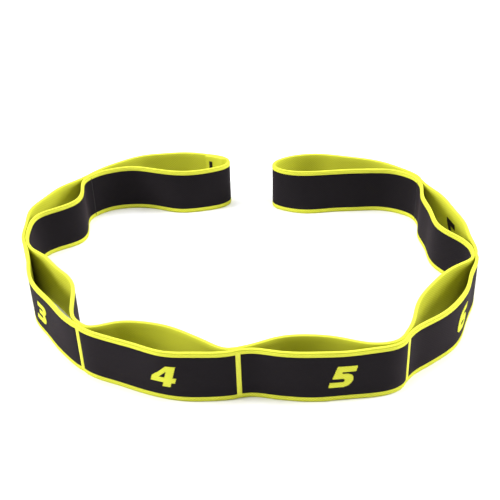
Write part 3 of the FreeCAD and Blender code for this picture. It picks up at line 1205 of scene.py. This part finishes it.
    def woven_cells(self, number: int) -> tuple[np.ndarray, np.ndarray, np.ndarray]:
        """Which cells of the figure's grid are yellow.

        A cell is in the figure if a ray from its middle crosses the contours an odd number of
        times. The outline is centred, and leans by the slant for each mm of height.

        Args:
            number: the figure.

        Returns:
            Cell edges along the tape in mm from the figure's middle, cell edges in mm above
            the floor, and the (along, up) grid of True and False.
        """
        contours = [self.contour(corners) for corners in self.outlines[number]]
        low, high = contours[0].min(0), contours[0].max(0)
        scale = self.height / 10
        edges = []
        for contour in contours:
            centred = (contour - (low + high) / 2) * scale
            centred[:, 0] += centred[:, 1] * self.slant
            edges.append(np.stack([centred, np.roll(centred, -1, axis=0)], axis=1))
        edge = np.concatenate(edges)
        half = (high - low) / 2 * scale + np.array([self.height * self.slant / 2, 0])
        along, up = (
            np.arange(-np.ceil(reach / self.cell) - 1, np.ceil(reach / self.cell) + 2) * self.cell
            for reach in half
        )
        x, y = np.meshgrid(
            (along[1:] + along[:-1]) / 2, (up[1:] + up[:-1]) / 2 + 1e-6, indexing="ij"
        )
        (x0, y0), (x1, y1) = edge[:, 0].T, edge[:, 1].T
        spans = (y0 > y[..., None]) != (y1 > y[..., None])
        rise = np.where(abs(y1 - y0) < 1e-12, 1e-12, y1 - y0)
        reach = x0 + (y[..., None] - y0) / rise * (x1 - x0)
        inside = (spans & (x[..., None] < reach)).sum(-1) % 2 == 1
        return along, up + WIDTH / 2, inside

    def shell(self, number: int, base: float, top: float) -> Shell:
        """The figure as a low relief of thread cells.

        Each row of cells is one thread, arched across its height. Cells in the figure get a
        top and a bottom, and a wall wherever the next cell is out.

        Args:
            number: the figure.
            base: depth of its sunken back in mm.
            top: depth of its face in mm.

        Returns:
            A closed shell.
        """
        along, up, inside = self.woven_cells(number)
        inside = np.repeat(inside, 2, axis=1)
        fine = np.interp(np.arange(2 * len(up) - 1) / 2, np.arange(len(up)), up)
        seam = self.line.seams[max(number - 1, 1), Ply.OUTER]
        middle = seam + (self.past_seam if number > 1 else -self.before_seam)
        middle += dict(self.shifts).get(number, 0.0)
        rise = np.sign(top - base)
        arch = self.arch * rise * (np.arange(len(fine)) % 2)
        place = middle + along[:, None]
        face = self.line.place(place, top + arch[None], fine[None])
        under = self.line.place(place, np.array([[base]]), fine[None])
        points = np.concatenate([face.reshape(-1, 3), under.reshape(-1, 3)])
        number_of = np.arange(face[..., 0].size).reshape(face.shape[:2])
        low = number_of.size
        i, j = np.nonzero(inside)
        corner = [number_of[i, j], number_of[i + 1, j], number_of[i + 1, j + 1], number_of[i, j + 1]]
        tops = np.stack(corner, axis=1)
        walls = []
        padded = np.pad(inside, 1)
        for step, (a, b) in (((0, -1), (0, 1)), ((1, 0), (1, 2)), ((0, 1), (2, 3)), ((-1, 0), (3, 0))):
            open_side = ~padded[i + 1 + step[0], j + 1 + step[1]]
            first, second = tops[open_side, a], tops[open_side, b]
            walls.append(np.stack([second, first, first + low, second + low], axis=1))
        quads = np.concatenate([tops, tops[:, ::-1] + low, *walls])
        used, renumbered = np.unique(quads, return_inverse=True)
        grid = np.stack(np.broadcast_arrays(along[:, None], fine[None]), axis=-1).reshape(-1, 2)
        pattern = np.concatenate([grid, grid])
        return Shell(
            points[used],
            renumbered.reshape(quads.shape),
            [],
            pattern[quads].reshape(-1, 2),
            np.zeros((len(used), 2)),
        ).turned_out()

    def build(self) -> None:
        """Makes each figure and its reverse, fixed to their loop."""
        for number in self.outlines:
            figure = self.shell(number, self.face - self.sunk, self.face + self.lift).piece(
                f"figure_{number}", self.finishes.yellow_weave
            )
            reverse = self.shell(number, BACK + self.sunk, BACK - self.back_lift).piece(
                f"figure_{number}_reverse", self.finishes.black_weave
            )
            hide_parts(f"numeral_{number}")
            for piece in (figure, reverse):
                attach(piece, f"loop_{number}")


# ---------------------------------------------------------------- the lapped end


@dataclass
class LappedEnd:
    """The tape's own end, turned in at the first fold and tacked inside loop 1.

    Attributes:
        line: the tape's line.
        finishes: its yarns.
        tape: the tape, for its sections.
        start: where the lap starts, in mm along the tape.
        end: its cut edge.
        taper: mm over which it grows to its full thickness.
        rest: depth of its face in mm, just clear of the outer ply's back.
        front: depth of the ground's face in its own section, in mm.
        inset: mm from the cut edge to the middle of the tack.
        yarns: how many loose yarn ends.
        seed: for the yarn ends and the cut edge.
        tack: the bar tack.
    """

    line: TapeLine
    finishes: Finishes
    tape: WovenTape
    start: float = 2.0
    end: float = 24.5
    taper: float = 7.0
    rest: float = -1.22
    front: float = 1.22
    inset: float = 4.5
    yarns: int = 44
    seed: int = 7
    tack: SatinBar = field(
        default_factory=lambda: SatinBar(
            width=3.6, low=9.0, high=35.0, base=-3.3, crown=-3.98, pitch=0.6
        )
    )

    def surface(self, section: Section) -> Shell:
        """Carries a section along the lap.

        Depth runs from the outer ply's back inwards, times a smooth step over the first
        millimetres, so that the lap grows out of the fold. Its cut edge is a little uneven.
        """
        outline = section.outline()
        along = np.linspace(self.start, self.end, 60)
        share = np.clip((along - self.start) / self.taper, 0.02, 1)
        grown = (share**2 * (3 - 2 * share))[:, None]
        depth = self.rest - (self.front - outline[None, :, 0]) * grown
        place = np.repeat(along[:, None], len(outline), axis=1)
        place[-1] += np.random.default_rng(self.seed).uniform(-0.3, 0.3, len(outline))
        return loft(self.line.place(place, depth, outline[None, :, 1]), along)

    def fringe(self) -> Shell:
        """Loose yarn ends at the cut edge.

        Each is a tube of four rings that tapers to half its 0.17 mm radius, and droops
        sideways with the square of its length.
        """
        chance = np.random.default_rng(self.seed)
        count = self.yarns
        root = np.column_stack([chance.uniform(-3.4, -1.5, count), np.linspace(0.8, 39.2, count)])
        reach = chance.uniform(0.5, 1.4, count)
        lean = chance.normal(0, 0.35, (count, 2))
        angle = np.linspace(0, 2 * np.pi, 6, endpoint=False)
        shells = []
        for yarn in range(count):
            step = np.linspace(0, 1, 4)[:, None]
            radius = 0.17 * (1 - 0.5 * step)
            sideways = root[yarn] + lean[yarn] * step**2
            along = self.end - 0.3 + (reach[yarn] + 0.3) * step + 0 * angle[None]
            depth = sideways[:, :1] + radius * np.cos(angle)[None]
            height = sideways[:, 1:] + radius * np.sin(angle)[None]
            shells.append(loft(self.line.place(along, depth, height), along[:, 0]))
        whole = shells[0]
        for shell in shells[1:]:
            whole = whole.with_shell(shell)
        return whole

    def build(self) -> None:
        """Makes the lap, its fringe and its bar tack, fixed to loop 1."""
        yellow, black = self.finishes.yellow_weave, self.finishes.black_weave
        ground = self.surface(self.tape.ground).piece("lap_ground", yellow)
        panel = self.surface(self.tape.panel).piece("lap_panel", black)
        fringe = self.fringe().piece("lap_fringe", yellow)
        tack = self.tack.shell(self.line, self.end - self.inset).piece(
            "lap_tack", self.finishes.black_thread
        )
        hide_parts("lap_end")
        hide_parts("lap_bar_tack")
        for piece in (ground, panel, fringe, tack):
            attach(piece, "loop_1")


# ---------------------------------------------------------------- studio


@dataclass
class Studio:
    """White paper floor, soft lights and the camera.

    Attributes:
        paper: finish of the floor.
        camera_place: in metres.
        pitch: degrees that the camera looks down.
        roll: its roll in degrees.
        lens: focal length in mm, for a sensor 36 mm wide.
        sky_light: strength of the white surroundings.
        soft_boxes: name, place in metres, side in metres and power in watts of each light.
    """

    paper: PaperFinish = PaperFinish("white background paper")
    camera_place: tuple[float, float, float] = (0.00519, -0.5795, 0.407)
    pitch: float = 33.27
    roll: float = 2.17
    lens: float = 66.3
    sky_light: float = 0.35
    soft_boxes: tuple[tuple[str, tuple[float, float, float], float, float], ...] = (
        ("soft box above", (0.0, 0.2, 2.4), 1.3, 50.0),
        ("soft box on the left", (-1.9, -0.1, 1.1), 0.9, 48.0),
        ("soft box on the right", (1.9, 0.1, 1.1), 0.9, 44.0),
    )

    def floor(self) -> None:
        """A sheet of paper 6 m square that lies level."""
        side = np.linspace(-3, 3, 13)
        x, y = np.meshgrid(side, side, indexing="ij")
        points = np.column_stack([x.ravel(), y.ravel(), np.zeros(x.size)])
        number = np.arange(x.size).reshape(x.shape)
        quads = np.stack([number[:-1, :-1], number[1:, :-1], number[1:, 1:], number[:-1, 1:]], -1)
        mesh = bpy.data.meshes.new("floor")
        mesh.from_pydata(points.tolist(), [], quads.reshape(-1, 4).tolist())
        mesh.materials.append(self.paper.material())
        floor = bpy.data.objects.new("floor", mesh)
        bpy.context.scene.collection.objects.link(floor)

    def light(self, name: str, place: tuple[float, float, float], size: float, power: float) -> None:
        """Adds a square soft box that faces the strap."""
        lamp = bpy.data.lights.new(name, "AREA")
        lamp.shape = "SQUARE"
        lamp.size = size
        lamp.energy = power
        box = bpy.data.objects.new(name, lamp)
        toward = -np.array(place)
        toward /= np.linalg.norm(toward)
        side = np.cross(toward, (0.0, 1.0, 0.0))
        side /= np.linalg.norm(side)
        axes = np.eye(4)
        axes[:3, 0], axes[:3, 1], axes[:3, 2] = side, np.cross(-toward, side), -toward
        axes[:3, 3] = place
        box.matrix_world = Matrix(axes.tolist())
        bpy.context.scene.collection.objects.link(box)

    def sky(self) -> None:
        """Even white surroundings."""
        world = bpy.data.worlds.new("white room")
        world.use_nodes = True
        back = world.node_tree.nodes["Background"]
        back.inputs["Color"].default_value = (1.0, 1.0, 1.0, 1.0)
        back.inputs["Strength"].default_value = self.sky_light
        bpy.context.scene.world = world

    def camera(self) -> None:
        """Looks along +Y, pitched down, with a slight roll."""
        lens = bpy.data.cameras.new("camera")
        lens.lens = self.lens
        lens.sensor_width = 36.0
        lens.clip_start = 0.01
        eye = bpy.data.objects.new("camera", lens)
        tilt = Matrix.Rotation(np.radians(90 - self.pitch), 4, "X")
        roll = Matrix.Rotation(np.radians(-self.roll), 4, "Z")
        eye.matrix_world = Matrix.Translation(self.camera_place) @ tilt @ roll
        bpy.context.scene.collection.objects.link(eye)
        bpy.context.scene.camera = eye

    def build(self) -> None:
        """Sets up the whole studio. Colours are shown as they are, with no film curve."""
        self.floor()
        self.sky()
        for soft_box in self.soft_boxes:
            self.light(*soft_box)
        self.camera()
        bpy.context.scene.view_settings.view_transform = "Standard"


def main() -> None:
    """Builds every part of the strap in order, then the studio."""
    logging.basicConfig(level=logging.INFO, format="%(name)s: %(message)s")
    plan = StrapPlan()
    line = plan.tape_line()
    log.info("tape is %.0f mm round", line.length)
    fold = SeamFold(plan, plan.seam_centres())
    finishes = Finishes()
    tape = WovenTape(line, fold, finishes)
    for part in (
        tape,
        SewnSeams(line, fold, finishes),
        WovenFigures(line, finishes),
        LappedEnd(line, finishes, tape),
        Studio(),
    ):
        part.build()
        log.info("%s done", type(part).__name__)


if __name__ == "__main__":
    main()
